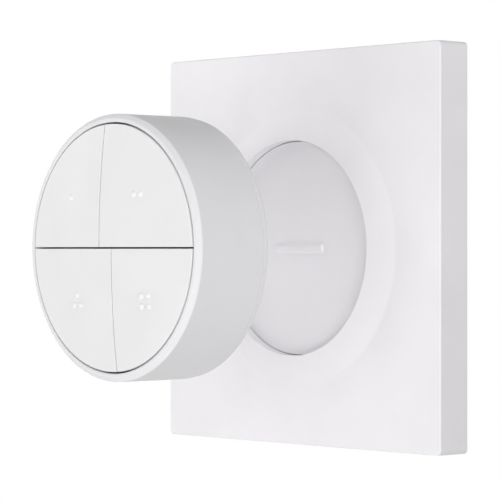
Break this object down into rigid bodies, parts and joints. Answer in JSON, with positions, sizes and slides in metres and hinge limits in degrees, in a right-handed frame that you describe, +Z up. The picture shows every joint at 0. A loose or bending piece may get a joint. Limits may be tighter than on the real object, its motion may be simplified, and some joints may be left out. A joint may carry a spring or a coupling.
{
  "type": "wall switch",
  "caption": "Battery wall switch: a round puck with push buttons and a turning ring lifts off a square cover plate with a raised round dock.",
  "frame": {"origin": "centre of the cover plate's back, on the wall's plane", "axes": "+Y into the wall, -Y out towards the user, +Z up the wall, +X to the right seen from the front"},
  "size_m": [0.08, 0.058, 0.08],
  "materials": {
    "plate_plastic": "fine matt moulded white",
    "dock_plastic": "fine matt moulded white",
    "base_plastic": "moulded white",
    "steel_sheet": "zinc-plated sheet",
    "screw_steel": "zinc-plated",
    "foam_tape": "closed-cell foam tape",
    "housing_plastic": "fine matt moulded white",
    "chassis_plastic": "moulded grey",
    "glide_plastic": "slippery plastic film",
    "board_laminate": "green solder mask on glass-epoxy",
    "can_metal": "tinned sheet",
    "chip_plastic": "black epoxy",
    "switch_plastic": "black moulded",
    "plunger_plastic": "moulded",
    "spring_steel": "nickel-plated",
    "cell_steel": "nickel-plated can",
    "magnet_nickel": "nickel-plated magnet",
    "magnet_ferrite": "plastic-bonded ferrite",
    "grip_rubber": "soft silicone",
    "dial_plastic": "satin moulded white",
    "detent_plastic": "natural acetal",
    "button_plastic": "fine matt moulded white"
  },
  "bodies": {
    "wall_mount": {"wall_plate": "plate_plastic", "dock_disc": "dock_plastic", "mounting_base": "base_plastic", "keeper_plate": "steel_sheet", "dock_screws": "screw_steel", "adhesive_pads": "foam_tape"},
    "puck": {"rear_housing": "housing_plastic", "front_chassis": "chassis_plastic", "glide_ring": "glide_plastic", "circuit_board": "board_laminate", "radio_module": "can_metal", "board_parts": "chip_plastic", "rotation_sensors": "chip_plastic", "detent_spring": "spring_steel", "battery_holder": "chassis_plastic", "coin_cell": "cell_steel", "contact_positive": "spring_steel", "contact_negative": "spring_steel", "dock_magnets": "magnet_nickel", "housing_screws": "screw_steel", "grip_pad": "grip_rubber", "switch_body_1": "switch_plastic", "switch_body_2": "switch_plastic", "switch_body_3": "switch_plastic", "switch_body_4": "switch_plastic"},
    "dial": {"dial_ring": "dial_plastic", "detent_ring": "detent_plastic", "magnet_ring": "magnet_ferrite"},
    "battery_cover": {"battery_cover": "housing_plastic"},
    "button_1": {"button_1": "button_plastic", "switch_plunger_1": "plunger_plastic"},
    "button_2": {"button_2": "button_plastic", "switch_plunger_2": "plunger_plastic"},
    "button_3": {"button_3": "button_plastic", "switch_plunger_3": "plunger_plastic"},
    "button_4": {"button_4": "button_plastic", "switch_plunger_4": "plunger_plastic"}
  },
  "joints": [
    {"name": "puck_lift_off", "type": "slide", "parent": "wall_mount", "child": "puck", "axis": [0, 1, 0], "range_m": [0, 0.0287]},
    {"name": "dial_turn", "type": "hinge", "parent": "puck", "child": "dial", "pos_m": [0, -0.0489, 0], "axis": [0, 1, 0], "continuous": true},
    {"name": "battery_cover_turn", "type": "hinge", "parent": "puck", "child": "battery_cover", "pos_m": [0, -0.0374, 0], "axis": [0, 1, 0], "range_deg": [-30, 0]},
    {"name": "button_1_press", "type": "slide", "parent": "puck", "child": "button_1", "axis": [0, 1, 0], "range_m": [0, 0.0004], "stiffness_N_per_m": 900, "springref_m": -0.0006},
    {"name": "button_2_press", "type": "slide", "parent": "puck", "child": "button_2", "axis": [0, 1, 0], "range_m": [0, 0.0004], "stiffness_N_per_m": 900, "springref_m": -0.0006},
    {"name": "button_3_press", "type": "slide", "parent": "puck", "child": "button_3", "axis": [0, 1, 0], "range_m": [0, 0.0004], "stiffness_N_per_m": 900, "springref_m": -0.0006},
    {"name": "button_4_press", "type": "slide", "parent": "puck", "child": "button_4", "axis": [0, 1, 0], "range_m": [0, 0.0004], "stiffness_N_per_m": 900, "springref_m": -0.0006}
  ]
}
